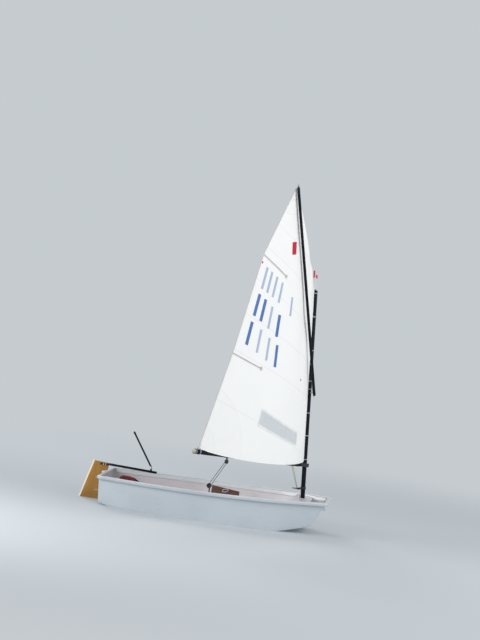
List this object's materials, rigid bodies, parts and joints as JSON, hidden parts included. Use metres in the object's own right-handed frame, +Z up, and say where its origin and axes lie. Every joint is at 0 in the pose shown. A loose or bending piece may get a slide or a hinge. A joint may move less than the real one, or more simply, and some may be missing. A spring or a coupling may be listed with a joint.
{
  "type": "sailing dinghy",
  "caption": "Small flat-bottomed pram dinghy with a blunt bow, a sprit-rigged sail swung out to starboard, a hinged rudder with tiller and extension, and a lifting daggerboard.",
  "frame": {"origin": "on the centreline at the waterline, 1.15 m ahead of the stern rail's aft edge; the hull's bottom is 0.09 m below it", "axes": "+X to the bow, +Y to port, +Z up; the hull is level"},
  "size_m": [2.602, 2.3486, 4.1771],
  "materials": {
    "hull_gelcoat": "pale grey gelcoat, lightly dulled",
    "rail": "pale grey moulded rail",
    "varnished_wood": "golden varnished plywood",
    "dark_board": "dark brown painted board",
    "black_spar": "black anodised tube",
    "bare_alloy": "satin",
    "sailcloth": "crisp white woven cloth",
    "clear_film": "clear window film",
    "black_plastic": "moulded",
    "grey_plastic": "moulded",
    "red_plastic": "dark red, worn",
    "bag_vinyl": "pale coated cloth",
    "blue_webbing": "woven webbing",
    "black_webbing": "woven webbing",
    "rope": "pale braided line",
    "vane_red": "moulded"
  },
  "bodies": {
    "root": {"hull_bottom": "hull_gelcoat", "hull_side_port": "hull_gelcoat", "hull_side_starboard": "hull_gelcoat", "stern_transom": "hull_gelcoat", "bow_transom": "hull_gelcoat", "gunwale_port": "rail", "gunwale_starboard": "rail", "stern_rail": "rail", "bow_rail": "rail", "mast_thwart": "hull_gelcoat", "mast_clamp": "grey_plastic", "mast_step": "grey_plastic", "midship_frame": "hull_gelcoat", "daggerboard_case": "hull_gelcoat", "buoyancy_bag_port": "bag_vinyl", "buoyancy_bag_starboard": "bag_vinyl", "buoyancy_bag_bow": "bag_vinyl", "bag_strap_port": "blue_webbing", "bag_strap_starboard": "blue_webbing", "hiking_strap_port": "black_webbing", "hiking_strap_starboard": "black_webbing", "bailer": "red_plastic", "mainsheet_block_lower": "black_plastic", "painter_eye": "bare_alloy", "transom_gudgeon_upper": "bare_alloy", "transom_gudgeon_lower": "bare_alloy"},
    "rudder": {"rudder_blade": "varnished_wood", "rudder_pintle_upper": "bare_alloy", "rudder_pintle_lower": "bare_alloy", "tiller": "black_spar", "tiller_bracket": "bare_alloy", "extension_saddle": "bare_alloy"},
    "universal": {"universal_joint": "bare_alloy"},
    "extension": {"tiller_extension": "black_spar"},
    "board": {"daggerboard": "dark_board"},
    "rig": {"mast": "black_spar", "boom": "black_spar", "boom_jaw": "black_plastic", "boom_end_cap": "bare_alloy", "mainsheet_block_upper": "black_plastic", "vang_cleat": "black_plastic", "sprit": "black_spar", "sprit_strop": "rope", "sail": "sailcloth", "sail_window": "clear_film", "batten_upper": "sailcloth", "batten_lower": "sailcloth", "wind_vane": "vane_red"}
  },
  "joints": [
    {"name": "rig_swing", "type": "hinge", "parent": "root", "child": "rig", "pos_m": [0.86216, 0, 0.661], "axis": [-0.0805, 0, 0.9968], "range_deg": [-152.5, 27.5]},
    {"name": "rudder_turn", "type": "hinge", "parent": "root", "child": "rudder", "pos_m": [-1.166, 0, 0.294], "axis": [-0.061, 0, 0.9981], "range_deg": [-60, 60]},
    {"name": "extension_swing", "type": "hinge", "parent": "rudder", "child": "universal", "pos_m": [-0.679, 0, 0.4], "axis": [0, 0, 1], "range_deg": [-63, 177]},
    {"name": "extension_tilt", "type": "hinge", "parent": "universal", "child": "extension", "pos_m": [-0.679, 0, 0.4], "axis": [0.8387, 0.5446, 0], "range_deg": [-20, 60]},
    {"name": "daggerboard_lift", "type": "slide", "parent": "root", "child": "board", "axis": [0, 0, 1], "range_m": [0, 0.6]}
  ]
}
